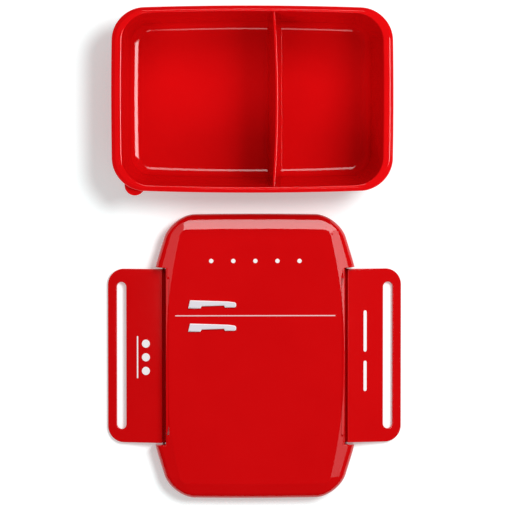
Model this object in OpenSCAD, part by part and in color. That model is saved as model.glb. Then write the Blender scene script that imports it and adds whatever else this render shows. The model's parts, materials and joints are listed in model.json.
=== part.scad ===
// Two-compartment lunch box with a domed lid and two side latch flaps.
// The tub stands open and the lid lies beside it, outer face up, turned a quarter turn,
// with its flaps folded out. Millimetres; +Z up; origin under the middle of the tub.

/* [Tub] */
// Length over the rim
tub_length = 203.2; // [200:0.2:206]
// Width over the rim
tub_width = 134.6; // [133:0.2:136]
// Height of the rim above the table
tub_height = 54; // [48:1:70]
// Corner radius of the rim
tub_corner = 22.6; // [20:0.2:26]
// How far the long sides bulge at their middle
tub_side_bow = 2.1; // [1:0.1:3]
// How far the short sides bulge at their middle
tub_end_bow = 0.8; // [0:0.1:2]
// Width of the rolled rim on the long sides, from its outer edge to the cavity
rim_width = 4.2; // [3.8:0.1:4.6]
// How much wider the rim is on the short sides
end_rim_extra = 3; // [0:0.2:4]
// Depth of the skirt that hangs from the rim
rim_skirt = 7.5; // [5:0.5:10]
// Wall thickness
wall = 1.8; // [1.4:0.1:2.2]
// How far the walls lean in between the rim and the floor
wall_lean = 7.2; // [6:0.2:9]
// Radius of the blend between the walls and the floor
floor_blend = 8; // [5:0.5:9]
// Radius of the lifting tab at one corner
tab_radius = 7.4; // [6:0.2:9]

/* [Divider] */
// Middle of the divider's straight foot, from the middle of the tub
divider_x = 17.4; // [10:0.2:24]
// Height of the divider's top edge, low enough to clear the closed lid's plug rib
divider_height = 49.6; // [40:0.2:49.8]
// How far the ends of its top edge lean back over the foot
divider_lean = 2; // [0:0.2:4]
// How far its top edge bows sideways at its middle
divider_bow = 2.2; // [0:0.2:4]
// Thickness of its top edge
divider_top = 1.7; // [1.4:0.1:2.5]
// Thickness just above its foot
divider_foot = 9.6; // [6:0.2:10]
// Thickness of its two skins; it is hollow from below
divider_skin = 1.8; // [1.4:0.1:2]

/* [Latch] */
// Length of the catch rib on each long wall of the tub
catch_length = 104; // [80:2:106]
// Height of the middle of the catch rib above the table
catch_z = 25.8; // [25.4:0.1:26.2]
// Reach of the catch rib's tip from the middle of the tub
catch_reach = 66.2; // [65.6:0.1:66.4]
// Length of each flap along its hinge
flap_length = 127.6; // [124:0.4:128]
// Reach of each flap from its hinge axis
flap_reach = 40.8; // [39:0.2:42]
// Thickness of the flap plate
flap_plate = 2.6; // [2.2:0.1:2.8]
// Corner radius of the free edge
flap_corner = 12; // [8:0.5:14]
// Length of the slot that takes the catch rib
slot_length = 108; // [106:1:112]
// Width of that slot
slot_width = 7.3; // [7:0.1:7.6]
// Distance of the slot's middle from the hinge axis
slot_reach = 30.6; // [30.4:0.1:30.8]
// How far an open flap droops below level
flap_droop = 14; // [13.8:0.1:14.2]

/* [Lid] */
// Length of the lid
lid_length = 208.6; // [206:0.2:210]
// Full width that the bowed sides would reach without the flap notches
lid_width = 162.4; // [161:0.2:166]
// Height of the lid
lid_height = 20.5; // [19:0.5:24]
// Corner radius of the lid
lid_corner = 16.3; // [15:0.1:18]
// Bulge of the long sides
lid_side_bow = 20.9; // [20:0.1:21.6]
// Bulge of the short ends
lid_end_bow = 0.6; // [0:0.1:1.2]
// Width of the shoulder at the ends of the lid
shoulder_width = 11.1; // [10.5:0.1:12]
// Extra width of the shoulder at the middle of the long sides
side_extra = 4.9; // [4.4:0.1:5.4]
// Bulge of the long sides at the crown
crown_side_bow = 11; // [9:0.5:13]
// Corner radius of the crown
crown_corner = 3; // [2:0.5:5]
// Width of the rounded edge outside the shoulder's bevel
edge_width = 4.4; // [4:0.2:5.4]
// Height of that rounded edge
edge_height = 6; // [5:0.5:8]
// How far the bevel drops from the crown
bevel_drop = 1.4; // [1:0.1:2]
// Middle of the lid, to the right of the middle of the tub
lid_x = 3; // [-20:0.2:20]
// Middle of the lid, in front of the middle of the tub
lid_y = -187.7; // [-240:0.2:-184]

/* [Door details] */
// Distance of the door seam from the middle of the lid
seam_y = 30; // [20:0.1:40]
// Length of the door seam strip
seam_length = 117; // [100:1:118]
// Left end of both handles
handle_x = -49; // [-55:0.5:0]
// Height of the handles above the door
handle_rise = 1.6; // [1:0.1:3]
// Distance between the marks in the row at the top of the door
mark_pitch = 16.1; // [10:0.1:20]

/* [Hidden] */
$fn = 48;

RED = [0.78, 0.03, 0.04];
WHITE = [0.95, 0.95, 0.95];
SILVER = [0.86, 0.85, 0.88];
SILICONE = [0.86, 0.86, 0.84];

corner_steps = 8;
side_steps = 8;
base = 2;                              // thickness of the tub's floor
rim_inner_edge = 0.8;                  // rounding of the rim's inner edge
wall_top_z = tub_height - 2.5;         // underside of the rim
wall_slope = wall_lean / (tub_height - rim_inner_edge - base);
wall_angle = atan(wall_slope);         // lean of the end walls from upright

skirt = 1.3;                           // thickness of the lid's skirt
lid_wall = 1.8;
seat_z = 4.8;                          // lid height that rests on the tub's rim
skirt_z = 6;                           // where the lid's shoulder starts
notch_half = 64.9;                     // half the length of each flap notch
notch_x = 65.4;                        // notch wall above the hinge
notch_low_x = 64.6;                    // notch wall beside the hinge barrel
notch_step_z = 9.6;
seat_rib_inset = 2.1;                  // from the outline of the tub's rim
plug_rib_inset = 6.4;

hinge_x = 66.9;
hinge_z = 7.2;
barrel_radius = 1.9;
rod_radius = 1;
barrel_bore = rod_radius + 0.06;
lid_bore = rod_radius + 0.03;
rod_length = 138;
plate_t = 2.9;                         // underside of the flap plate above the hinge axis
plate_root = -0.3;                     // edge of the plate nearest the lid

mark_raise = 0.2;
seam_width = 1.1;
seam_depth = 0.5;

// ---- outlines and lofts ----

// Closed outline of a rectangle with round corners whose sides bulge outwards
function bowed_outline(half_x, half_y, corner, bow_x, bow_y) =
    let (
        flat_x = half_x - bow_x,
        flat_y = half_y - bow_y,
        signs = [[1, 1], [-1, 1], [-1, -1], [1, -1]],
        arcs = [for (quarter = [0:3]) [for (step = [0:corner_steps])
            let (angle = 90 * quarter + 90 * step / corner_steps)
            [signs[quarter].x * (flat_x - corner) + corner * cos(angle),
             signs[quarter].y * (flat_y - corner) + corner * sin(angle)]]],
        points = [for (quarter = [0:3]) each concat(
            arcs[quarter],
            [for (step = [1:side_steps - 1])
                let (part = step / side_steps)
                arcs[quarter][corner_steps] * (1 - part) + arcs[(quarter + 1) % 4][0] * part])]
    )
    [for (p = points) [
        p.x * (1 + bow_x / flat_x * (1 - pow(p.y / flat_y, 2))),
        p.y * (1 + bow_y / flat_y * (1 - pow(p.x / flat_x, 2)))]];

// Outline of the tub, a given distance inside the edge of its rim. end_share is 1 inside the rim
// and on the walls, which stand further in on the short sides, and 0 at the rim's edge.
function tub_outline(inset, end_share = 0) = bowed_outline(
    tub_length / 2 - inset - end_share * end_rim_extra, tub_width / 2 - inset,
    max(2, tub_corner - 0.85 * inset), tub_end_bow, tub_side_bow);

// The same outline turned a quarter turn, as the lid sees it
function turned_tub_outline(inset, end_share) = [for (p = tub_outline(inset, end_share)) [-p.y, p.x]];

// Outline of the lid, a given distance inside its skirt. share runs from 0 at the lid's edge to 1
// at the crown, whose long sides stand further in and bulge less.
function lid_outline(inset, share = 0) = bowed_outline(
    lid_width / 2 - inset - share * side_extra, lid_length / 2 - inset,
    max(crown_corner, lid_corner - 1.1 * inset),
    lid_side_bow + share * (crown_side_bow - lid_side_bow), lid_end_bow);

// Solid through a stack of outlines that all have the same number of points
module loft(outlines, heights) {
    count = len(outlines[0]);
    top = len(outlines) - 1;
    points = [for (k = [0:top]) for (p = outlines[k]) [p.x, p.y, heights[k]]];
    sides = [for (k = [0:top - 1]) for (i = [0:count - 1])
        let (a = k * count + i, b = k * count + (i + 1) % count)
        each [[a, a + count, b], [b, a + count, b + count]]];
    polyhedron(points, concat(
        sides,
        [[for (i = [0:count - 1]) i]],
        [[for (i = [count - 1:-1:0]) top * count + i]]), convexity = 6);
}

// Upright ring between two tub outlines, turned as the lid sees it
module turned_ring(outer_inset, inner_inset, end_share, z_low, z_high) {
    translate([0, 0, z_low])
        linear_extrude(z_high - z_low)
            difference() {
                polygon(turned_tub_outline(outer_inset, end_share));
                polygon(turned_tub_outline(inner_inset, end_share));
            }
}

// The lid's shoulder above its upright skirt, as [share of width, share of height]: a rounded edge
// and then a shallow bevel, which meets the flat crown at a crease
function shoulder_curve() =
    let (
        steps = 6,
        turn = 80,
        rise = lid_height - skirt_z,
        edge_share = edge_width / shoulder_width,
        low = 1 - (bevel_drop + edge_height) / rise,
        high = 1 - bevel_drop / rise
    )
    concat(
        [for (step = [0:steps])
            let (angle = turn * step / steps)
            [edge_share * (1 - cos(angle)) / (1 - cos(turn)), low + (high - low) * sin(angle) / sin(turn)]],
        [[1, 1]]);

module both_sides() {
    children();
    mirror([0, 1, 0]) children();
}

// ---- tub ----

// Section of the tub's wall as [inset, end share, height]: up the outside, over the rim and down
// the inside to the floor
function tub_section() =
    let (
        inner_foot = rim_width + wall_lean,
        outer_foot = inner_foot - wall,
        skirt_foot_z = tub_height - rim_skirt,
        blend_run = floor_blend * tan((90 - wall_angle) / 2),
        blend_steps = 5
    )
    [
        [outer_foot + 4.4, 1, 0],
        [outer_foot + 2.2, 1, 0.4],
        [outer_foot + 0.6, 1, 1.7],
        [outer_foot - 0.6, 1, 4],
        [rim_width - wall + 0.3, 1, wall_top_z],
        [wall, 0, wall_top_z],
        [wall - 0.2, 0, skirt_foot_z],
        [0, 0, skirt_foot_z],
        [0.1, 0, tub_height - 2],
        [0.7, 0, tub_height - 0.8],
        [2, 0, tub_height],
        [rim_width - rim_inner_edge, 1, tub_height],
        [rim_width - 0.2, 1, tub_height - 0.2],
        [rim_width, 1, tub_height - rim_inner_edge],
        for (step = [0:blend_steps])
            let (angle = (90 - wall_angle) * (1 - step / blend_steps))
            [inner_foot + blend_run - floor_blend * sin(angle), 1, base + floor_blend * (1 - cos(angle))]
    ];

// Distance of a long wall's inner face inside the rim's edge at a given height
function inner_inset(z) = rim_width + wall_slope * (tub_height - rim_inner_edge - z);

// Half the width across the outer faces of the long walls at a given height
function outer_half_width(z) = tub_width / 2 - inner_inset(z) + wall;

module catch_rib() {
    root_depth = 1.1;
    root_low = outer_half_width(catch_z - 3.6) - root_depth;
    root_high = outer_half_width(catch_z + 3.6) - root_depth;
    translate([-catch_length / 2, 0, 0])
        rotate([90, 0, 90])
            linear_extrude(catch_length)
                polygon([
                    [root_low, catch_z - 3.6],
                    [catch_reach, catch_z - 2.2],
                    [catch_reach, catch_z + 2.2],
                    [root_high, catch_z + 3.6]]);
}

module lifting_tab() {
    tab_z = tub_height - rim_skirt;
    difference() {
        translate([-tub_length / 2 + 17, -tub_width / 2 + 5.4, tab_z])
            cylinder(r = tab_radius, h = 1.6);
        translate([0, 0, tab_z - 1])
            linear_extrude(4)
                polygon(tub_outline(0.9));
    }
}

module tub_shell() {
    color(RED) {
        section = tub_section();
        loft([for (s = section) tub_outline(s[0], s[1])], [for (s = section) s[2]]);
        both_sides() catch_rib();
        lifting_tab();
    }
}

// The divider's skin as [half thickness, end gap, height]: down inside its hollow, which is open
// below, then up the outside from the foot to the top edge. The outside runs into the walls.
function divider_section() =
    let (overlap = -0.8, hollow_half = divider_foot / 2 - divider_skin)
    [
        [0.3, divider_skin, divider_height * 0.67],
        [hollow_half, divider_skin, base + 2],
        [hollow_half, divider_skin, base - 0.6],
        [divider_foot / 2 + 1.8, overlap, base - 0.6],
        [divider_foot / 2 + 1.7, overlap, base + 0.1],
        [divider_foot / 2 + 0.6, overlap, base + 0.7],
        [divider_foot / 2, overlap, base + 2],
        [divider_top / 2, overlap, divider_height - 0.4],
        [divider_top / 2 - 0.3, overlap, divider_height]
    ];

// Middle of the divider at a height and a place along it, which runs from -1 to 1
function divider_middle(z, along) =
    divider_x + (divider_bow * (1 - along * along) - divider_lean) * max(0, z - base) / (divider_height - base);

module divider() {
    stations = 12;
    section = divider_section();
    outlines = [for (s = section)
        let (reach = tub_width / 2 - inner_inset(s[2]) - s[1])
        concat(
            [for (k = [0:stations])
                let (along = -1 + 2 * k / stations)
                [divider_middle(s[2], along) + s[0], along * reach]],
            [for (k = [stations:-1:0])
                let (along = -1 + 2 * k / stations)
                [divider_middle(s[2], along) - s[0], along * reach]])];
    color(RED) loft(outlines, [for (s = section) s[2]]);
}

// ---- lid, in its own place: x across, y along, skirt on z = 0 ----

module lid_place() {
    translate([lid_x, lid_y, 0]) children();
}

module lid_form() {
    curve = shoulder_curve();
    rise = lid_height - skirt_z;
    loft(
        concat([lid_outline(0)], [for (c = curve) lid_outline(shoulder_width * c[0], c[0])]),
        concat([0], [for (c = curve) skirt_z + rise * c[1]]));
}

module lid_cavity() {
    curve = shoulder_curve();
    rise = lid_height - lid_wall - skirt_z;
    loft(
        concat(
            [lid_outline(skirt), lid_outline(skirt)],
            [for (c = curve) lid_outline(lid_wall + (shoulder_width - 0.4) * c[0], c[0])]),
        concat([-1, seat_z], [for (c = curve) skirt_z + rise * c[1]]));
}

// Solid left standing around each notch, and the bosses that hold the hinge rods
module notch_surround() {
    for (side = [-1, 1])
        translate([side * (notch_low_x - lid_wall + 20), 0, seat_z + 20])
            cube([40, 2 * (notch_half + lid_wall), 40], center = true);
    for (side = [-1, 1])
        translate([side * hinge_x, 0, hinge_z])
            rotate([90, 0, 0])
                cylinder(r = hinge_z - seat_z, h = 2 * (notch_half + 5.2), center = true);
}

module notches() {
    for (side = [-1, 1]) {
        translate([side * (notch_x + 20), 0, 15])
            cube([40, 2 * notch_half, 40], center = true);
        translate([side * (notch_low_x + 20), 0, notch_step_z - 10])
            cube([40, 2 * notch_half, 20], center = true);
    }
}

module lid_shell() {
    color(RED) lid_place()
        difference() {
            lid_form();
            difference() {
                lid_cavity();
                turned_ring(seat_rib_inset, seat_rib_inset + lid_wall, 0.5, seat_z, lid_height);
                turned_ring(plug_rib_inset, plug_rib_inset + 1.6, 1, 1, lid_height);
                notch_surround();
            }
            notches();
            for (side = [-1, 1])
                translate([side * hinge_x, 0, hinge_z])
                    rotate([90, 0, 0])
                        cylinder(r = lid_bore, h = rod_length + 0.6, center = true);
            translate([0, seam_y, lid_height])
                cube([seam_length, seam_width, 2 * seam_depth], center = true);
        }
}

// Ring of soft seal around the plug rib, with one rounded lip that meets the tub's wall
module lid_gasket() {
    lip = [[5.5, 1.6], [4.7, 2.4], [4.5, 3], [4.7, 3.6], [5.5, 4.4]];
    color(SILICONE) lid_place()
        difference() {
            loft([for (s = lip) turned_tub_outline(s[0], 1)], [for (s = lip) s[1]]);
            linear_extrude(6) polygon(turned_tub_outline(plug_rib_inset, 1));
        }
}

module door_seam_strip() {
    color(SILVER) lid_place()
        translate([-seam_length / 2, seam_y - seam_width / 2, lid_height - seam_depth])
            cube([seam_length, seam_width, seam_depth + mark_raise]);
}

module door_marks() {
    color(WHITE) lid_place()
        for (k = [-2:2])
            translate([k * mark_pitch, seam_y + 40, lid_height])
                cylinder(r = 1.6, h = mark_raise);
}

// Door handle: a tall grip end, a thin neck and a small round-ended foot
module handle(y) {
    color(SILVER) lid_place()
        translate([handle_x, y, lid_height])
            linear_extrude(handle_rise) {
                polygon([
                    [0, 0.4], [0.4, 0], [8.8, 0], [9.8, 1.7], [26, 2.2],
                    [26.8, 0.9], [33.3, 0.9], [33.3, 4.6], [29, 5.2], [1.6, 6.2], [1, 5.6]]);
                translate([33.2, 2.75]) circle(r = 1.85);
            }
}

module upper_handle() {
    handle(seam_y + 5.2);
}

module lower_handle() {
    handle(seam_y - 11.8);
}

// ---- latch flaps ----

// Frame of one flap: x outwards from the hinge axis, z out of the plate. side is 1 or -1.
module flap_place(side) {
    lid_place()
        translate([side * hinge_x, 0, hinge_z])
            mirror([side < 0 ? 1 : 0, 0, 0])
                rotate([0, flap_droop, 0])
                    children();
}

module flap_outline() {
    inner_reach = flap_reach - flap_corner;
    difference() {
        union() {
            translate([plate_root, -flap_length / 2])
                square([inner_reach - plate_root, flap_length]);
            translate([plate_root, -flap_length / 2 + flap_corner])
                square([flap_reach - plate_root, flap_length - 2 * flap_corner]);
            for (end = [-1, 1])
                translate([inner_reach, end * (flap_length / 2 - flap_corner)])
                    circle(r = flap_corner);
        }
        translate([slot_reach - slot_width / 2, -(slot_length - slot_width) / 2])
            square([slot_width, slot_length - slot_width]);
        for (end = [-1, 1])
            translate([slot_reach, end * (slot_length - slot_width) / 2])
                circle(d = slot_width);
    }
}

module flap(side) {
    color(RED) flap_place(side)
        difference() {
            union() {
                translate([0, 0, plate_t])
                    linear_extrude(flap_plate)
                        flap_outline();
                translate([0.2, -flap_length / 2, 0])
                    cube([barrel_radius - 0.2, flap_length, plate_t + 1]);
                rotate([90, 0, 0])
                    cylinder(r = barrel_radius, h = flap_length, center = true);
            }
            rotate([90, 0, 0])
                cylinder(r = barrel_bore, h = flap_length + 2, center = true);
        }
}

module latch_flap_left() {
    flap(-1);
}

module latch_flap_right() {
    flap(1);
}

module hinge_rod(side) {
    color(SILVER) lid_place()
        translate([side * hinge_x, 0, hinge_z])
            rotate([90, 0, 0])
                cylinder(r = rod_radius, h = rod_length, center = true);
}

module hinge_rod_left() {
    hinge_rod(-1);
}

module hinge_rod_right() {
    hinge_rod(1);
}

// A round-ended bar lying along the hinge
module mark_bar(x, y_low, y_high, width) {
    linear_extrude(mark_raise) {
        translate([x - width / 2, y_low]) square([width, y_high - y_low]);
        for (y = [y_low, y_high]) translate([x, y]) circle(d = width);
    }
}

module flap_marks_left() {
    color(WHITE) flap_place(-1)
        translate([0, 0, plate_t + flap_plate]) {
            for (k = [-1:1])
                translate([12, 10 * k - 1, 0])
                    cylinder(r = 3, h = mark_raise);
            mark_bar(18.3, -16, 14, 1);
        }
}

module flap_marks_right() {
    color(WHITE) flap_place(1)
        translate([0, 0, plate_t + flap_plate]) {
            mark_bar(13, 4, 32, 2.4);
            mark_bar(13, -25, -5, 2.4);
        }
}

tub_shell();
divider();
lid_shell();
lid_gasket();
door_seam_strip();
door_marks();
upper_handle();
lower_handle();
hinge_rod_left();
hinge_rod_right();
latch_flap_left();
latch_flap_right();
flap_marks_left();
flap_marks_right();
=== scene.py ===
"""Lunch box, open: a two-compartment tub and, beside it, its domed lid with two latch flaps.

Lengths in the helper functions are millimetres in the piece's own place, as in a drawing;
MM turns them into metres when a mesh is made. The studio's lengths are metres.
"""

import json
import math

import bmesh
import bpy
from mathutils import Matrix, Vector
from mathutils.bvhtree import BVHTree


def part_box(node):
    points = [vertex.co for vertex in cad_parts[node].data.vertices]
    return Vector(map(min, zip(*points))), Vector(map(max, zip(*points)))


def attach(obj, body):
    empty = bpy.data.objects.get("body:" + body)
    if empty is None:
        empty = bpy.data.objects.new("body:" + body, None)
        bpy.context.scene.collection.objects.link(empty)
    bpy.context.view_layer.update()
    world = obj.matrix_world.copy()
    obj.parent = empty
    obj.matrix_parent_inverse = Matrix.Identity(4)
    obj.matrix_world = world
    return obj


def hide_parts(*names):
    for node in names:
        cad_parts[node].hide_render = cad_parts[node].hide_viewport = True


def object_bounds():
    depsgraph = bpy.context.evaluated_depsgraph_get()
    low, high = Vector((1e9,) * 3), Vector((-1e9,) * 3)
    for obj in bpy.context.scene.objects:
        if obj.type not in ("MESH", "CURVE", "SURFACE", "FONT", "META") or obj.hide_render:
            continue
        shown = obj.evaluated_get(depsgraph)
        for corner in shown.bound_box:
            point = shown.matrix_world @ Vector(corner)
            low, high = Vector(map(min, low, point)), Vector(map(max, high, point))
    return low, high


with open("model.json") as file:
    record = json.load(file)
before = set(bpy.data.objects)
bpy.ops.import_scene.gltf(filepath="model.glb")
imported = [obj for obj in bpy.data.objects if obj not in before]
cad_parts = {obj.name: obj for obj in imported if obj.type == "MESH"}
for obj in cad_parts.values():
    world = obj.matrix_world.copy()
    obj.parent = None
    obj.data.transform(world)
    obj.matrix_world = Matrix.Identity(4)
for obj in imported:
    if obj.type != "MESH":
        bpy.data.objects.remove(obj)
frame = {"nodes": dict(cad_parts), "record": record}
CAD_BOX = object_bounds()
MM = 0.001

# ---- places and sizes from the frame, in millimetres ----


def box_mm(node):
    low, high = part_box(node)
    return [v / MM for v in low], [v / MM for v in high]


def joint_place(name):
    joints = frame["record"]["behaviour"]["joints"]
    joint = next(j for j in joints if j["name"] == name)
    return [v / MM for v in joint["pos_m"]]


_, TUB_HIGH = box_mm("tub_shell")
TUB_HALF_X, TUB_HALF_Y, TUB_HEIGHT = TUB_HIGH
LID_LOW, LID_HIGH = box_mm("lid_shell")
LID_X = (LID_LOW[0] + LID_HIGH[0]) / 2
LID_Y = (LID_LOW[1] + LID_HIGH[1]) / 2
LID_HEIGHT = LID_HIGH[2]
LID_HALF_Y = (LID_HIGH[1] - LID_LOW[1]) / 2
HINGE_X = joint_place("right_flap_hinge")[0] - LID_X
HINGE_Z = joint_place("right_flap_hinge")[2]

# Tub
TUB_CORNER = 22.6
TUB_CORNER_SHRINK = 0.85  # how fast the corner's radius falls with the distance inside the edge
TUB_CORNER_LEAST = 2
TUB_BOW = (0.8, 2.1)  # bulge of the short and the long sides
RIM_WIDTH = 4.2
END_RIM_EXTRA = 3.0
RIM_SKIRT = 7.5
WALL = 1.8
WALL_LEAN = 7.2
BASE = 2.0
UNDERSIDE_LIFT = 0.7  # how far the middle of the underside stands off the table
FOOT_SLOPE = (4.6, 5.4)  # where the foot slopes up to it, inside the inner wall's foot
UNDERSIDE_CAP = 8  # where the flat middle of the underside starts, inside the inner wall's foot
FLOOR_CAP = 16.5  # where the flat middle of the floor starts
FLOOR_BLEND = 7.0
RIM_UNDERSIDE = TUB_HEIGHT - 2.5
CATCH_HALF = 52.0
CATCH_Z = 25.8
CATCH_REACH = 66.2
CATCH_ROOT_HALF = 3.7
CATCH_FACE_HALF = 2.2
CATCH_SINK = 1.2
TAB_RADIUS = 7.4
TAB_THICKNESS = 1.6
TAB_SINK = 0.9
TAB_PLACE = (-TUB_HALF_X + 17, -TUB_HALF_Y + 5.4)

# Divider
DIVIDER_X = 17.4
DIVIDER_HEIGHT = 49.6
DIVIDER_LEAN = 2.0
DIVIDER_BOW = 2.2
DIVIDER_TOP = 1.7
DIVIDER_FOOT = 9.6
DIVIDER_FOOT_BLEND = 1.4
DIVIDER_TOP_ROUND = 0.5
DIVIDER_SPLAY = 2.5  # how far its foot spreads under the blend, on each side
DIVIDER_SINK = 0.8
DIVIDER_STATIONS = 40

# Lid
LID_HALF_X = 81.2  # half width that the bowed sides would reach without the notches
LID_CORNER = 16.3
LID_CORNER_SHRINK = 1.1
LID_BOW = (20.9, 0.6)
LID_WALL = 1.8
SKIRT = 1.3
SHOULDER = 11.1  # width of the shoulder at the ends
SIDE_EXTRA = 4.9  # what it gains at the middle of the long sides
CROWN_BOW = 11.0
CROWN_CORNER = 4.5
EDGE_WIDTH = 4.4  # rounded edge of the lid, outside the shoulder's bevel
EDGE_HEIGHT = 6.0
EDGE_TURN = math.radians(80)
BEVEL_DROP = 1.4
BEVEL_STEPS = 14
BEVEL_START = 0.04  # shares of the bevel's width where its first ring lies, and that its rings cover
BEVEL_RUN = 0.93
CROWN_CAP = 3
PLUG_RIB_INSET = 6.4
SEAT_RIB_INSET = 2.1
SEAT_Z = 4.8
PLUG_RIB_LOW = 1
RIB_WIDTH = 1.6
NOTCH_HALF = 64.9
NOTCH_X = 65.4
NOTCH_LOW_X = 64.6
NOTCH_STEP_Z = 9.6
BOSS_BORE = 1.03
BOSS_ROOT = 1
BOSS_END = 5.2

# Flaps, in their own frame: u outwards from the hinge axis, t out of the plate
FLAP_HALF = 63.8
FLAP_REACH = 40.8
FLAP_CORNER = 12.0
PLATE_ROOT = -0.3
PLATE_T = 2.9
PLATE = 2.6
FLAP_DROOP = math.radians(14)
SLOT_REACH = 30.6
SLOT_WIDTH = 7.3
SLOT_HALF = 54.0
SLOT_STEPS = 24
BARREL_RADIUS = 1.9
BARREL_BORE = 1.06
WEB_ROOT = 0.2

# ---- outlines ----

CORNER_STEPS = 18
SIDE_STEPS = 24
QUARTER_SIGNS = ((1, 1), (-1, 1), (-1, -1), (1, -1))


def bowed_outline(half_x, half_y, corner, bow):
    """Rectangle with round corners whose sides bulge outwards, anticlockwise from its right side."""
    flat_x = half_x - bow[0]
    flat_y = half_y - bow[1]
    centres = [(sx * (flat_x - corner), sy * (flat_y - corner)) for sx, sy in QUARTER_SIGNS]
    points = []
    for quarter, centre in enumerate(centres):
        for step in range(CORNER_STEPS + 1):
            angle = math.radians(90 * quarter + 90 * step / CORNER_STEPS)
            points.append((centre[0] + corner * math.cos(angle), centre[1] + corner * math.sin(angle)))
        after = centres[(quarter + 1) % 4]
        turn = math.radians(90 * (quarter + 1))
        start = points[-1]
        target = (after[0] + corner * math.cos(turn), after[1] + corner * math.sin(turn))
        for step in range(1, SIDE_STEPS):
            part = step / SIDE_STEPS
            points.append(tuple(a + (b - a) * part for a, b in zip(start, target)))
    bulged = []
    for x, y in points:
        wider = 1 + bow[0] / flat_x * (1 - (y / flat_y) ** 2)
        longer = 1 + bow[1] / flat_y * (1 - (x / flat_x) ** 2)
        bulged.append((x * wider, y * longer))
    return bulged


def tub_outline(inset, end_extra=0):
    """Outline at a distance inside the rim's edge; the short sides stand end_extra further in."""
    corner = max(TUB_CORNER_LEAST, TUB_CORNER - TUB_CORNER_SHRINK * inset)
    return bowed_outline(TUB_HALF_X - inset - end_extra, TUB_HALF_Y - inset, corner, TUB_BOW)


def turned_tub_outline(inset, end_extra):
    """The same outline in the lid's place, where the tub would be turned a quarter turn."""
    return [(LID_X - y, LID_Y + x) for x, y in tub_outline(inset, end_extra)]


def rounded_path(corners, steps=6):
    """Turns a path of (a, b, radius) corners into points, with each corner rounded by its radius."""
    points = []
    for index, (a, b, radius) in enumerate(corners):
        here = Vector((a, b))
        if radius <= 0 or index in (0, len(corners) - 1):
            points.append((a, b))
            continue
        back = Vector(corners[index - 1][:2]) - here
        ahead = Vector(corners[index + 1][:2]) - here
        half = back.angle(ahead) / 2
        run = min(radius / math.tan(half), 0.49 * back.length, 0.49 * ahead.length)
        start = here + back.normalized() * run
        end = here + ahead.normalized() * run
        for step in range(steps + 1):
            k = step / steps
            weight = 1 / math.sin(half)
            blend = (1 - k) ** 2 + 2 * k * (1 - k) / weight + k**2
            p = (start * (1 - k) ** 2 + here * (2 * k * (1 - k) / weight) + end * k**2) / blend
            points.append((p.x, p.y))
    return points


def circle(radius, count, centre=(0, 0)):
    angles = [2 * math.pi * k / count for k in range(count)]
    return [(centre[0] + radius * math.cos(a), centre[1] + radius * math.sin(a)) for a in angles]


# ---- mesh helpers ----

SMOOTH_ANGLE = math.radians(38)  # edges sharper than this stay sharp
MERGE_DISTANCE = 0.002
LEAST_EDGE = 0.001


def mesh_object(name, points, faces, material):
    """Object whose mesh holds the given points, in millimetres, with flat areas shaded flat."""
    mesh = bpy.data.meshes.new(name)
    mesh.from_pydata([Vector(p) * MM for p in points], [], faces)
    work = bmesh.new()
    work.from_mesh(mesh)
    bmesh.ops.remove_doubles(work, verts=work.verts, dist=MERGE_DISTANCE * MM)
    bmesh.ops.dissolve_degenerate(work, edges=work.edges, dist=LEAST_EDGE * MM)
    bmesh.ops.recalc_face_normals(work, faces=work.faces)
    work.to_mesh(mesh)
    work.free()
    return finish_object(name, mesh, material)


def finish_object(name, mesh, material):
    mesh.materials.clear()
    mesh.materials.append(material)
    mesh.polygons.foreach_set("use_smooth", [True] * len(mesh.polygons))
    mesh.set_sharp_from_angle(angle=SMOOTH_ANGLE)
    made = bpy.data.objects.new(name, mesh)
    bpy.context.scene.collection.objects.link(made)
    weighted = made.modifiers.new("flat areas", "WEIGHTED_NORMAL")
    weighted.keep_sharp = True
    return made


def loft(rings, closed=False):
    """Points and faces of a skin through rings of 3-D points, with flat ends unless closed."""
    count = len(rings[0])
    points = [p for ring in rings for p in ring]
    faces = []
    pairs = len(rings) if closed else len(rings) - 1
    for k in range(pairs):
        low = k * count
        high = (k + 1) % len(rings) * count
        for i in range(count):
            j = (i + 1) % count
            faces.append((low + i, low + j, high + j, high + i))
    if not closed:
        faces.append(tuple(range(count)))
        faces.append(tuple(range(len(points) - count, len(points))))
    return points, faces


def joined(name, parts, material):
    """One object from several (points, faces) parts."""
    points = []
    faces = []
    for part_points, part_faces in parts:
        offset = len(points)
        points += part_points
        faces += [tuple(offset + i for i in face) for face in part_faces]
    return mesh_object(name, points, faces, material)


def level(outline, z):
    return [(x, y, z) for x, y in outline]


def tube(radius, bore, half_length):
    """Round bar along y with softened ends and a bore through it."""
    chamfer = 0.3
    profile = [
        (radius, -half_length + chamfer),
        (radius, half_length - chamfer),
        (radius - chamfer, half_length),
        (bore, half_length),
        (bore, -half_length),
        (radius - chamfer, -half_length),
    ]
    rings = [[(x, y, z) for x, z in circle(r, 40)] for r, y in profile]
    return loft(rings, closed=True)


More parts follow.
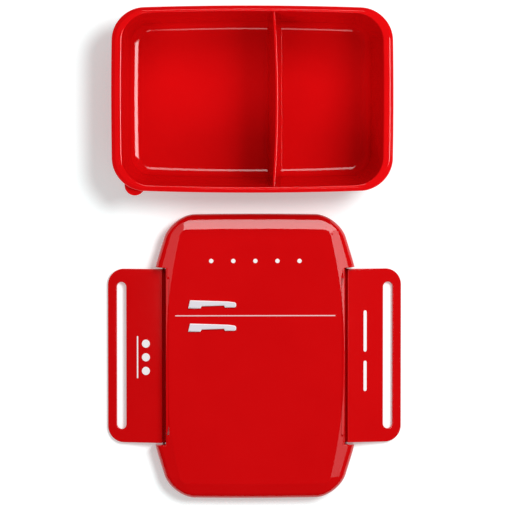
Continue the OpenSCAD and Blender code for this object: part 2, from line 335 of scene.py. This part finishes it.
def plate(name, outlines, low, high, edge, material, place=None):
    """Flat plate with rounded edges from closed outlines; inner outlines become holes."""
    curve = bpy.data.curves.new(name, "CURVE")
    curve.dimensions = "2D"
    curve.fill_mode = "BOTH"
    for outline in outlines:
        spline = curve.splines.new("POLY")
        spline.points.add(len(outline) - 1)
        for point, (x, y) in zip(spline.points, outline):
            point.co = (x * MM, y * MM, 0, 1)
        spline.use_cyclic_u = True
    curve.extrude = ((high - low) / 2 - edge) * MM
    curve.bevel_depth = edge * MM
    curve.bevel_resolution = 3
    curve.offset = -edge * MM
    draft = bpy.data.objects.new(name, curve)
    bpy.context.scene.collection.objects.link(draft)
    bpy.context.view_layer.update()
    mesh = bpy.data.meshes.new_from_object(draft)
    bpy.data.objects.remove(draft)
    bpy.data.curves.remove(curve)
    work = bmesh.new()
    work.from_mesh(mesh)
    bmesh.ops.remove_doubles(work, verts=work.verts, dist=MERGE_DISTANCE * MM)
    for vert in work.verts:
        vert.co.z += (low + high) / 2 * MM
        if place:
            vert.co = Vector(place(*(v / MM for v in vert.co))) * MM
    bmesh.ops.recalc_face_normals(work, faces=work.faces)
    work.to_mesh(mesh)
    work.free()
    return finish_object(name, mesh, material)


def join_objects(name, objects):
    """Joins mesh objects that share one material into the first of them."""
    with bpy.context.temp_override(active_object=objects[0], selected_editable_objects=objects):
        bpy.ops.object.join()
    objects[0].name = name
    return objects[0]


# ---- materials ----

PLASTIC_IOR = 1.49
PLAIN_GLOSS = 0.5
# Faint cyan tint of the paper, painted to take the red bounce light out of the objects' shadows on it
PAPER_LIGHT = (0.85, 0.95, 0.95)
PAPER_SHADE = (0.84, 0.94, 0.94)
# Painted light: the paper's glow, which lightens the objects' shadows on it
PAPER_GLOW = 0.3


def new_material(name):
    material = bpy.data.materials.new(name)
    material.use_nodes = True
    nodes = material.node_tree.nodes
    return material, nodes, material.node_tree.links, nodes["Principled BSDF"]


def noise(nodes, links, scale, detail=3.0, stretch=(1, 1, 1)):
    """Noise in the object's own space, so that it stays with the piece."""
    place = nodes.new("ShaderNodeTexCoord")
    mapping = nodes.new("ShaderNodeMapping")
    mapping.inputs["Scale"].default_value = stretch
    texture = nodes.new("ShaderNodeTexNoise")
    texture.inputs["Scale"].default_value = scale
    texture.inputs["Detail"].default_value = detail
    links.new(place.outputs["Object"], mapping.inputs["Vector"])
    links.new(mapping.outputs["Vector"], texture.inputs["Vector"])
    return texture.outputs["Fac"]


def spread(nodes, links, source, low, high):
    """Maps 0.3 to 0.7 of a noise onto low to high; an off or on value gives low or high."""
    ranged = nodes.new("ShaderNodeMapRange")
    ranged.inputs["From Min"].default_value = 0.3
    ranged.inputs["From Max"].default_value = 0.7
    ranged.inputs["To Min"].default_value = low
    ranged.inputs["To Max"].default_value = high
    links.new(source, ranged.inputs["Value"])
    return ranged.outputs["Result"]


def two_tone(nodes, links, source, first, second):
    mix = nodes.new("ShaderNodeMix")
    mix.data_type = "RGBA"
    mix.inputs["A"].default_value = (*first, 1)
    mix.inputs["B"].default_value = (*second, 1)
    links.new(source, mix.inputs["Factor"])
    return mix.outputs["Result"]


def bump(nodes, links, source, distance, strength, bsdf):
    node = nodes.new("ShaderNodeBump")
    node.inputs["Distance"].default_value = distance
    node.inputs["Strength"].default_value = strength
    links.new(source, node.inputs["Height"])
    links.new(node.outputs["Normal"], bsdf.inputs["Normal"])


def gloss_plastic(name, colour, deeper, rough_low, rough_high):
    """Injection-moulded gloss: a faint flow mottle, fine handling marks and a barely uneven skin.

    It has no gloss of its own inside another reflection, so walls don't repeat nearby highlights.
    """
    material, nodes, links, bsdf = new_material(name)
    mottle = spread(nodes, links, noise(nodes, links, scale=22, detail=4), 0, 1)
    links.new(two_tone(nodes, links, mottle, colour, deeper), bsdf.inputs["Base Color"])
    marks = noise(nodes, links, scale=900, detail=6, stretch=(0.25, 1.6, 1))
    links.new(spread(nodes, links, marks, rough_low, rough_high), bsdf.inputs["Roughness"])
    skin = noise(nodes, links, scale=160, detail=2)
    bump(nodes, links, skin, distance=0.00002, strength=0.25, bsdf=bsdf)
    bsdf.inputs["IOR"].default_value = PLASTIC_IOR
    ray = nodes.new("ShaderNodeLightPath").outputs["Is Glossy Ray"]
    links.new(spread(nodes, links, ray, PLAIN_GLOSS, 0), bsdf.inputs["Specular IOR Level"])
    return material


def ink(name, colour, deeper):
    """Pad-printed ink: dry, slightly uneven in cover."""
    material, nodes, links, bsdf = new_material(name)
    cover = spread(nodes, links, noise(nodes, links, scale=1400, detail=4), 0, 1)
    links.new(two_tone(nodes, links, cover, colour, deeper), bsdf.inputs["Base Color"])
    links.new(spread(nodes, links, noise(nodes, links, scale=700), 0.35, 0.5), bsdf.inputs["Roughness"])
    return material


def silicone():
    material, nodes, links, bsdf = new_material("silicone_seal")
    tone = spread(nodes, links, noise(nodes, links, scale=60), 0, 1)
    links.new(
        two_tone(nodes, links, tone, (0.72, 0.72, 0.69), (0.64, 0.64, 0.61)),
        bsdf.inputs["Base Color"],
    )
    links.new(spread(nodes, links, noise(nodes, links, scale=500), 0.42, 0.6), bsdf.inputs["Roughness"])
    bsdf.inputs["Subsurface Weight"].default_value = 0.15
    bsdf.inputs["Subsurface Radius"].default_value = (0.002, 0.002, 0.002)
    return material


def rod_steel():
    """Drawn wire: fine lines along the rod."""
    material, nodes, links, bsdf = new_material("rod_steel")
    lines = noise(nodes, links, scale=1500, detail=3, stretch=(1, 0.02, 1))
    links.new(spread(nodes, links, lines, 0.22, 0.4), bsdf.inputs["Roughness"])
    links.new(
        two_tone(nodes, links, lines, (0.6, 0.6, 0.62), (0.45, 0.45, 0.47)),
        bsdf.inputs["Base Color"],
    )
    bsdf.inputs["Metallic"].default_value = 1.0
    return material


def floor_paper():
    """White sheet with painted light: it glows a little, which keeps it white and lightens the objects'
    shadows on it. Its faint cyan tint takes the red bounce light out of those shadows.
    """
    material, nodes, links, bsdf = new_material("floor_paper")
    grain = spread(nodes, links, noise(nodes, links, scale=8), 0, 1)
    links.new(two_tone(nodes, links, grain, PAPER_LIGHT, PAPER_SHADE), bsdf.inputs["Base Color"])
    bsdf.inputs["Roughness"].default_value = 0.9
    bsdf.inputs["Specular IOR Level"].default_value = 0.0
    bsdf.inputs["Emission Color"].default_value = (1, 1, 1, 1)
    bsdf.inputs["Emission Strength"].default_value = PAPER_GLOW
    return material


RED = gloss_plastic("red_gloss", (0.62, 0.003, 0.004), (0.59, 0.0025, 0.0035), 0.04, 0.07)
GRIP_WHITE = gloss_plastic("grip_white", (0.96, 0.94, 0.96), (0.93, 0.91, 0.94), 0.16, 0.24)
GRIP_GREY = gloss_plastic("grip_grey", (0.74, 0.72, 0.77), (0.70, 0.68, 0.74), 0.2, 0.3)
INK_WHITE = ink("ink_white", (0.93, 0.92, 0.92), (0.88, 0.86, 0.86))
INK_SILVER = ink("ink_silver", (0.86, 0.62, 0.62), (0.78, 0.5, 0.5))
SEAL = silicone()
STEEL = rod_steel()

# ---- tub ----


def tub_inner_inset(z):
    """Distance of a long side's inner wall from the rim's edge at a height, above the floor blend."""
    return RIM_WIDTH + WALL_LEAN * (TUB_HEIGHT - z) / (TUB_HEIGHT - BASE)


def wall_path(end_extra):
    """Wall section from the middle of the underside, up the outside and down the inside."""
    foot = tub_inner_inset(BASE) + end_extra
    rim = RIM_WIDTH + end_extra
    return rounded_path(
        [
            (foot + UNDERSIDE_CAP, UNDERSIDE_LIFT, 0),
            (foot + FOOT_SLOPE[1], UNDERSIDE_LIFT, 0.5),
            (foot + FOOT_SLOPE[0], 0, 0.5),
            (foot - WALL, 0, 5),
            (rim - WALL + 0.2, RIM_UNDERSIDE, 0.8),
            (WALL, RIM_UNDERSIDE, 0.5),
            (WALL - 0.2, TUB_HEIGHT - RIM_SKIRT, 0.5),
            (0, TUB_HEIGHT - RIM_SKIRT, 0.5),
            (0.05, TUB_HEIGHT - 1.6, 1.2),
            (2.7, TUB_HEIGHT, 1),
            (rim, TUB_HEIGHT - 0.05, 0.9),
            (foot, BASE, FLOOR_BLEND),
            (foot + FLOOR_CAP, BASE, 0),
        ],
        10,
    )


def tub_rings():
    sides = wall_path(0)
    ends = wall_path(END_RIM_EXTRA)
    return [level(tub_outline(side[0], end[0] - side[0]), side[1]) for side, end in zip(sides, ends)]


def catch_rib(side):
    """Long catch on the tub's wall that a flap's slot closes over."""
    deep = TUB_HALF_Y - tub_inner_inset(CATCH_Z) + WALL - CATCH_SINK
    section = rounded_path(
        [
            (deep, CATCH_Z - CATCH_ROOT_HALF, 0),
            (CATCH_REACH, CATCH_Z - CATCH_FACE_HALF, 0.7),
            (CATCH_REACH, CATCH_Z + CATCH_FACE_HALF, 0.7),
            (deep, CATCH_Z + CATCH_ROOT_HALF, 0),
        ]
    )
    taper_start = 0.9
    taper_run = 0.1
    end_shrink = 0.35
    rings = []
    for part in (-1, -0.99, -0.97, -0.9, 0.9, 0.97, 0.99, 1):
        shrink = 1 - end_shrink * max(0, abs(part) - taper_start) / taper_run
        x = part * CATCH_HALF
        rings.append([(x, side * (deep + (y - deep) * shrink), z) for y, z in section])
    return loft(rings)


def lifting_tab():
    """Half-round tab that stands out from the rim's skirt, made from the part of a disc outside it."""
    skirt = tub_outline(TAB_SINK)
    edges = list(zip(skirt, skirt[1:] + skirt[:1]))

    def outside(p):
        return any((b[0] - a[0]) * (p[1] - a[1]) < (b[1] - a[1]) * (p[0] - a[0]) for a, b in edges)

    disc = [(TAB_PLACE[0] - y, TAB_PLACE[1] + x) for x, y in circle(TAB_RADIUS, 96)]
    low = TUB_HEIGHT - RIM_SKIRT
    return plate("tab", [[p for p in disc if outside(p)]], low, low + TAB_THICKNESS, 0.5, RED)


def make_tub():
    shell = joined("tub", [loft(tub_rings()), catch_rib(-1), catch_rib(1)], RED)
    piece = join_objects("tub", [shell, lifting_tab()])
    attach(piece, "tub")
    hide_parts("tub_shell")


def divider_section():
    """(half thickness, height) from the foot's blend, at the floor, to the rounded top edge."""
    return rounded_path(
        [
            (DIVIDER_FOOT / 2 + DIVIDER_SPLAY, BASE - 0.2, 0),
            (DIVIDER_FOOT / 2, BASE - 0.05, DIVIDER_FOOT_BLEND),
            (DIVIDER_TOP / 2, DIVIDER_HEIGHT - 0.05, DIVIDER_TOP_ROUND),
            (0.05, DIVIDER_HEIGHT - 0.05, 0),
        ],
        10,
    )


def make_divider():
    """Wall with a straight foot whose top edge bows sideways, and whose ends run into the tub."""
    rings = []
    for half, z in divider_section():
        reach = TUB_HALF_Y - tub_inner_inset(z) + DIVIDER_SINK
        share = max(0, z - BASE) / (DIVIDER_HEIGHT - BASE)
        ring = []
        for side in (1, -1):
            for k in range(DIVIDER_STATIONS + 1):
                along = side * (2 * k / DIVIDER_STATIONS - 1)
                middle = DIVIDER_X + (DIVIDER_BOW * (1 - along**2) - DIVIDER_LEAN) * share
                ring.append((middle + side * half, along * reach, z))
        rings.append(ring)
    piece = joined("divider_wall", [loft(rings)], RED)
    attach(piece, "tub")
    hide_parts("divider")


# ---- lid ----


def notched(outline, z, notch_x, notch_half):
    """Presses the long sides in for a flap and lifts the skirt there to the seat."""
    soft = 0.45
    lift_run = 3.5
    ring = []
    for x, y in outline:
        into = min(1, max(0, (notch_half + soft - abs(y)) / (2 * soft)))
        into = into * into * (3 - 2 * into)
        over = abs(x) - notch_x
        cut = into * 0.5 * (over + math.sqrt(over * over + soft * soft)) if into else 0
        lift = min(1, cut / lift_run) * max(0, SEAT_Z - z)
        ring.append((LID_X + math.copysign(abs(x) - cut, x), LID_Y + y, z + lift))
    return ring


def shoulder(steps, width, high):
    """(inset, height) along the lid's shoulder: a rounded edge, then a shallow bevel to the crown."""
    edge = EDGE_WIDTH / SHOULDER * width
    low = high - BEVEL_DROP - EDGE_HEIGHT
    curve = []
    for step in range(steps + 1):
        angle = EDGE_TURN * step / steps
        inset = edge * (1 - math.cos(angle)) / (1 - math.cos(EDGE_TURN))
        curve.append((inset, low + EDGE_HEIGHT * math.sin(angle) / math.sin(EDGE_TURN)))
    for step in range(BEVEL_STEPS + 1):
        part = BEVEL_START + BEVEL_RUN * step / BEVEL_STEPS
        curve.append((edge + (width - edge) * part, high - BEVEL_DROP * (1 - part)))
    return curve + [(width + 0.2, high)]


def side_stations():
    """Places along a long side, from back to front, close together at the ends of the notch."""
    close = (-1.2, -0.6, -0.45, -0.3, -0.15, 0, 0.15, 0.3, 0.45, 0.6, 1.2)
    fine = [NOTCH_HALF + step for step in close]
    fine += [NOTCH_HALF + LID_WALL + step for step in close[3:10]]
    coarse = [2.5 * k for k in range(1, 26)]
    upper = sorted(coarse + fine + [69.5, 73])
    return [-y for y in reversed(upper)] + [0] + upper


def lid_outline(inset, share):
    """Lid outline whose long sides hold points at the same places along the lid in every ring.

    share runs from 0 at the lid's edge to 1 at the crown, whose long sides bulge less.
    """
    half_x = LID_HALF_X - inset - share * SIDE_EXTRA
    half_y = LID_HALF_Y - inset
    side_bow = LID_BOW[0] + share * (CROWN_BOW - LID_BOW[0])
    corner = max(CROWN_CORNER, LID_CORNER - LID_CORNER_SHRINK * inset)
    outline = bowed_outline(half_x, half_y, corner, (side_bow, LID_BOW[1]))
    flat_y = half_y - LID_BOW[1]
    side = [(half_x - side_bow * (y / flat_y) ** 2, y) for y in side_stations()]
    quarter = CORNER_STEPS + SIDE_STEPS
    corners = [outline[k * quarter : k * quarter + CORNER_STEPS + 1] for k in range(4)]
    ends = [outline[k * quarter + CORNER_STEPS + 1 : (k + 1) * quarter] for k in (0, 2)]
    back = corners[0] + ends[0] + corners[1]
    front = corners[2] + ends[1] + corners[3]
    return back + [(-x, y) for x, y in reversed(side)] + front + side


def lid_rings():
    """Rings from the middle of the crown, down the outside, round the skirt's edge and up inside."""
    outer = [(SHOULDER + CROWN_CAP, 1, LID_HEIGHT)]
    for inset, z in reversed(shoulder(24, SHOULDER, LID_HEIGHT)):
        outer.append((inset, min(1, inset / SHOULDER), z))
    outer += [(0, 0, z) for z in (NOTCH_STEP_Z + 0.2, NOTCH_STEP_Z, SEAT_Z - 0.3, 0.5)]
    outer.append((0.35, 0, 0.05))
    inner = [(SKIRT - 0.3, 0, 0.05), (SKIRT, 0, 0.5), (SKIRT, 0, SEAT_Z)]
    width = SHOULDER - 0.4
    for inset, z in shoulder(12, width, LID_HEIGHT - LID_WALL):
        inner.append((LID_WALL + inset, min(1, inset / width), z))
    inner.append((SHOULDER + 4, 1, LID_HEIGHT - LID_WALL))
    rings = []
    for inset, share, z in outer:
        notch_x = NOTCH_X if z > NOTCH_STEP_Z else NOTCH_LOW_X
        rings.append(notched(lid_outline(inset, share), z, notch_x, NOTCH_HALF))
    for inset, share, z in inner:
        rings.append(notched(lid_outline(inset, share), z, NOTCH_LOW_X - LID_WALL, NOTCH_HALF + LID_WALL))
    return rings


def ceiling_ray(tree):
    """Height of the underside of the lid's skin above a place."""

    def height(x, y):
        hit, _, _, _ = tree.ray_cast(Vector((x, y, SEAT_Z + 0.5)), Vector((0, 0, 1)))
        return hit.z if hit else LID_HEIGHT - LID_WALL

    return height


def standing_rib(outer_inset, end_extra, low, ceiling):
    """Upright ring under the lid that runs up into its skin."""
    inner_inset = outer_inset + RIB_WIDTH
    rings = []
    edge = 0.3
    for inset, lift in (
        (outer_inset, None),
        (outer_inset, edge),
        (outer_inset + edge, 0),
        (inner_inset - edge, 0),
        (inner_inset, edge),
        (inner_inset, None),
    ):
        ring = []
        for x, y in turned_tub_outline(inset, end_extra):
            z = ceiling(x, y) + 0.5 if lift is None else low + lift
            ring.append((x, y, z))
        rings.append(ring)
    return loft(rings, closed=True)


def hinge_boss(side, end):
    """Round boss behind a notch cheek that takes one end of a hinge rod."""
    start = NOTCH_HALF + BOSS_ROOT
    finish = NOTCH_HALF + BOSS_END
    tip = finish + 0.3
    radius = HINGE_Z - SEAT_Z
    x = LID_X + side * HINGE_X
    section = ((BOSS_BORE, start), (radius, start), (radius, finish), (radius - 0.4, tip), (BOSS_BORE, tip))
    rings = []
    for r, y in section:
        rings.append([(x + px, LID_Y + end * y, HINGE_Z + pz) for px, pz in circle(r, 36)])
    return loft(rings, closed=True)


def make_lid():
    skin = loft(lid_rings())
    tree = BVHTree.FromPolygons([Vector(p) for p in skin[0]], skin[1])
    ceiling = ceiling_ray(tree)
    seat_rib = standing_rib(SEAT_RIB_INSET, END_RIM_EXTRA / 2, SEAT_Z, ceiling)
    plug_rib = standing_rib(PLUG_RIB_INSET, END_RIM_EXTRA, PLUG_RIB_LOW, ceiling)
    parts = [skin, seat_rib, plug_rib]
    parts += [hinge_boss(side, end) for side in (-1, 1) for end in (-1, 1)]
    piece = joined("lid_cover", parts, RED)
    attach(piece, "lid")
    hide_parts("lid_shell")


def make_seal():
    """Soft ring with one rounded lip, seated on the plug rib under the lid."""
    root = PLUG_RIB_INSET
    section = rounded_path(
        [(root, 1.7, 0), (root - 1, 1.6, 0.3), (root - 1.9, 3, 0.5), (root - 1, 4.4, 0.3), (root, 4.3, 0)]
    )
    rings = [level(turned_tub_outline(inset, END_RIM_EXTRA), z) for inset, z in section]
    piece = joined("seal_ring", [loft(rings, closed=True)], SEAL)
    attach(piece, "lid")
    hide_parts("lid_gasket")


# ---- door details on the crown ----

SEAM_SHARE = 0.75  # width of the printed line, as a share of the strip's
DOT_COUNT = 5
DOT_SIDES = 32
BAR_STEPS = 12
INK_SINK = 0.1
INK_EDGE = 0.08
HANDLE_SINK = 0.1
HANDLE_EDGE = 0.45
PANEL_INSET = 0.75  # the grey panel on a handle, inside its outline
PANEL_PROUD = 0.25


def round_bar(length, width, centre):
    """Outline of a bar along x with round ends."""
    reach = length / 2 - width / 2
    points = []
    for side, start in ((1, -90), (-1, 90)):
        for step in range(BAR_STEPS + 1):
            angle = math.radians(start + 180 * step / BAR_STEPS)
            x = centre[0] + side * reach + width / 2 * math.cos(angle)
            points.append((x, centre[1] + width / 2 * math.sin(angle)))
    return points


def make_seam():
    low, high = box_mm("door_seam_strip")
    centre = ((low[0] + high[0]) / 2, (low[1] + high[1]) / 2)
    outline = round_bar(high[0] - low[0], SEAM_SHARE * (high[1] - low[1]), centre)
    piece = plate("door_seam", [outline], low[2], high[2], 0.18, INK_SILVER)
    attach(piece, "lid")
    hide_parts("door_seam_strip")


def make_door_marks():
    low, high = box_mm("door_marks")
    radius = (high[1] - low[1]) / 2
    middle = (low[1] + high[1]) / 2
    pitch = (high[0] - low[0] - 2 * radius) / (DOT_COUNT - 1)
    outlines = [circle(radius, DOT_SIDES, (low[0] + radius + k * pitch, middle)) for k in range(DOT_COUNT)]
    piece = plate("door_dots", outlines, low[2] - INK_SINK, high[2], INK_EDGE, INK_WHITE)
    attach(piece, "lid")
    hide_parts("door_marks")


def handle_outline(origin, shrink):
    """Side view of a refrigerator handle: tall grip end, thin neck and small round-ended foot."""
    corners = [
        (0, 0.2, 0.3),
        (8.9, 0.2, 0.6),
        (9.8, 1.8, 0.5),
        (26, 2.3, 0.5),
        (26.8, 0.9, 0.5),
        (35, 0.9, 1.5),
        (35, 4.5, 1.7),
        (29, 5.3, 2),
        (1.3, 6.2, 0.7),
    ]
    looped = rounded_path([corners[-1], *corners, corners[0]], 5)[1:-1]
    work = [Vector(p) for p in looped]
    points = []
    for index, here in enumerate(work):
        back = (here - work[index - 1]).normalized()
        ahead = (work[(index + 1) % len(work)] - here).normalized()
        along = (back + ahead).normalized()
        inward = Vector((-along.y, along.x))
        points.append((origin[0] + here.x + inward.x * shrink, origin[1] + here.y + inward.y * shrink))
    return points


def make_handle(node, name):
    low, high = box_mm(node)
    origin = (low[0], low[1])
    crown = low[2]
    top = high[2] - PANEL_PROUD
    outline = handle_outline(origin, 0)
    frame_part = plate(name, [outline], crown - HANDLE_SINK, top, HANDLE_EDGE, GRIP_WHITE)
    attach(frame_part, "lid")
    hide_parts(node)
    inner = handle_outline(origin, PANEL_INSET)
    panel = plate(name + "_panel", [inner], crown + 0.5, high[2], 0.2, GRIP_GREY)
    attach(panel, "lid")


# ---- flaps ----


def flap_place(side):
    """Maps (u, v, t) in a flap's own frame to the model."""
    cos = math.cos(FLAP_DROOP)
    sin = math.sin(FLAP_DROOP)

    def place(u, v, t):
        return (
            LID_X + side * (HINGE_X + u * cos + t * sin),
            LID_Y + v,
            HINGE_Z - u * sin + t * cos,
        )

    return place


def flap_outline():
    corners = [
        (PLATE_ROOT, -FLAP_HALF, 0.8),
        (FLAP_REACH, -FLAP_HALF, FLAP_CORNER),
        (FLAP_REACH, FLAP_HALF, FLAP_CORNER),
        (PLATE_ROOT, FLAP_HALF, 0.8),
    ]
    return rounded_path([corners[-1], *corners, corners[0]], 20)[1:-1]


def slot_outline():
    radius = SLOT_WIDTH / 2
    reach = SLOT_HALF - radius
    points = []
    for side, start in ((1, 0), (-1, 180)):
        for step in range(SLOT_STEPS + 1):
            angle = math.radians(start + 180 * step / SLOT_STEPS)
            points.append((SLOT_REACH + radius * math.cos(angle), side * reach + radius * math.sin(angle)))
    return points


def make_flap(side, body, name, node):
    place = flap_place(side)
    board = plate(name, [flap_outline(), slot_outline()], PLATE_T, PLATE_T + PLATE, 0.5, RED, place)
    barrel_points, barrel_faces = tube(BARREL_RADIUS, BARREL_BORE, FLAP_HALF)
    top = PLATE_T + 0.6
    web = ((WEB_ROOT, 0), (BARREL_RADIUS, 0), (BARREL_RADIUS, top), (WEB_ROOT, top))
    ends = (-FLAP_HALF + 0.1, FLAP_HALF - 0.1)
    web_points, web_faces = loft([[(u, v, t) for u, t in web] for v in ends])
    parts = [
        ([place(*p) for p in barrel_points], barrel_faces),
        ([place(*p) for p in web_points], web_faces),
    ]
    hinge = joined(name + "_hinge", parts, RED)
    piece = join_objects(name, [board, hinge])
    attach(piece, body)
    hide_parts(node)


def make_flap_marks(side, body, name, node, outlines):
    top = PLATE_T + PLATE
    piece = plate(name, outlines, top - INK_SINK, top + 0.2, INK_EDGE, INK_WHITE, flap_place(side))
    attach(piece, body)
    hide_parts(node)


def upright_bar(x, low, high, width):
    """Outline of a bar along the hinge with round ends."""
    bar = round_bar(high - low + width, width, (0, 0))
    return [(x - y, (low + high) / 2 + along) for along, y in bar]


def left_marks():
    """Three dots in a row along the hinge, and a thin line beyond them."""
    dot_u = 12
    dot_radius = 3
    dot_pitch = 10
    line_u = 18.3
    line_half = 15
    middle = -1
    dots = [circle(dot_radius, DOT_SIDES, (dot_u, dot_pitch * k + middle)) for k in (-1, 0, 1)]
    return dots + [upright_bar(line_u, middle - line_half, middle + line_half, 1)]


def right_marks():
    """Two dashes in line along the hinge."""
    dash_u = 13
    dash_width = 2.4
    return [upright_bar(dash_u, low, high, dash_width) for low, high in ((4, 32), (-25, -5))]


def finish_rods():
    for node in ("hinge_rod_left", "hinge_rod_right"):
        mesh = frame["nodes"][node].data
        mesh.materials.clear()
        mesh.materials.append(STEEL)


# ---- studio ----

FLOOR_HALF = 6
FLOOR_DROP = 0.0002
LID_PANELS_Z = 2.2
TUB_PANELS_Z = 1.1
SPOT_SIZE = 0.7
SPOT_TARGET = (0, -0.1, 0)
KEY_PLACE = (0.9, 1.1, 1.6)
WORLD_GREY = 0.4
VIEW_WIDTH = 0.3712
CAMERA_PLACE = (-0.07, -0.012, 2.5)


def make_floor():
    work = bmesh.new()
    bmesh.ops.create_grid(work, x_segments=2, y_segments=2, size=FLOOR_HALF)
    mesh = bpy.data.meshes.new("floor")
    work.to_mesh(mesh)
    work.free()
    mesh.materials.append(floor_paper())
    floor = bpy.data.objects.new("floor", mesh)
    floor.location.z = -FLOOR_DROP
    bpy.context.scene.collection.objects.link(floor)


def aim(thing, target):
    """Turns a lamp or the camera to face a target, with the model's +Y upwards in its view."""
    back = (thing.location - target).normalized()
    right = Vector((0, 1, 0)).cross(back).normalized()
    upward = back.cross(right)
    thing.rotation_euler = Matrix((right, upward, back)).transposed().to_euler()


def lamp(name, shape, size, place, energy, glossy, lit):
    """Area lamp that faces down and lights only the objects in lit."""
    light = bpy.data.lights.new(name, "AREA")
    light.shape = shape
    light.size, light.size_y = size
    light.energy = energy
    thing = bpy.data.objects.new(name, light)
    thing.location = place
    thing.visible_camera = False
    thing.visible_glossy = glossy
    bpy.context.scene.collection.objects.link(thing)
    group = bpy.data.collections.new(name + "_lights")
    for piece in lit:
        group.objects.link(piece)
    thing.light_linking.receiver_collection = group
    return thing


def panel(name, height, x_range, y_range, radiance, lit):
    """Lamp that hangs level over the object; its edges set where the gloss starts and ends."""
    size = (x_range[1] - x_range[0], y_range[1] - y_range[0])
    middle = (sum(x_range) / 2, sum(y_range) / 2, height)
    lamp(name, "RECTANGLE", size, middle, math.pi * size[0] * size[1] * radiance, True, lit)


def spot(name, place, energy, lit):
    """Round lamp that faces the object and leaves no gloss on it."""
    size = (SPOT_SIZE, SPOT_SIZE)
    aim(lamp(name, "DISK", size, place, energy, False, lit), Vector(SPOT_TARGET))


def make_lights():
    """The tub and the lid have their own panels, as if each had been photographed by itself."""
    meshes = [thing for thing in bpy.context.scene.objects if thing.type == "MESH"]
    tub = [thing for thing in meshes if thing.name in ("tub", "divider_wall")]
    floor = [thing for thing in meshes if thing.name == "floor"]
    lid = [thing for thing in meshes if thing not in tub + floor]
    panel("lid_back", LID_PANELS_Z, (-0.55, 1.5), (0.6, 1.05), 6.5, lid)
    panel("lid_right", LID_PANELS_Z, (0.7, 1.3), (-0.35, 0.6), 3.4, lid)
    panel("lid_right_front", LID_PANELS_Z, (0.7, 1.3), (-0.8, -0.35), 1.2, lid)
    panel("lid_left", LID_PANELS_Z, (-1.2, -0.55), (-0.35, 1.2), 0.85, lid)
    panel("tub_right", TUB_PANELS_Z, (0.45, 2.3), (-0.17, 0.15), 11, tub)
    panel("tub_back", TUB_PANELS_Z, (-0.15, 0.25), (0.45, 1.1), 5, tub)
    panel("tub_front", TUB_PANELS_Z, (-0.03, 0.18), (-0.9, -0.5), 3, tub)
    spot("lid_key", KEY_PLACE, 20, lid)
    spot("tub_key", KEY_PLACE, 8, tub)
    spot("tub_fill", (-0.6, -1.2, 1.2), 11, tub)
    spot("floor_key", (0.75, 0.45, 2), 32, floor)
    world = bpy.data.worlds.new("studio")
    world.use_nodes = True
    world.node_tree.nodes["Background"].inputs["Color"].default_value = (*[WORLD_GREY] * 3, 1)
    bpy.context.scene.world = world
    world.cycles_visibility.glossy = False


def make_camera():
    """Long lens above the tub, looking down at the middle of the tub and the lid."""
    target = Vector((LID_X * MM / 2, (CAD_BOX[0][1] + CAD_BOX[1][1]) / 2, 0))
    data = bpy.data.cameras.new("camera")
    camera = bpy.data.objects.new("camera", data)
    camera.location = CAMERA_PLACE
    data.lens = data.sensor_width * (camera.location - target).length / VIEW_WIDTH
    data.clip_end = 20
    bpy.context.scene.collection.objects.link(camera)
    aim(camera, target)
    bpy.context.scene.camera = camera


make_camera()
make_floor()
make_tub()
make_divider()
make_lid()
make_seal()
make_seam()
make_door_marks()
make_handle("upper_handle", "handle_upper")
make_handle("lower_handle", "handle_lower")
make_flap(-1, "left_flap", "flap_left", "latch_flap_left")
make_flap(1, "right_flap", "flap_right", "latch_flap_right")
make_flap_marks(-1, "left_flap", "dots_left", "flap_marks_left", left_marks())
make_flap_marks(1, "right_flap", "dashes_right", "flap_marks_right", right_marks())
finish_rods()
make_lights()

bpy.context.scene.view_settings.view_transform = "Standard"
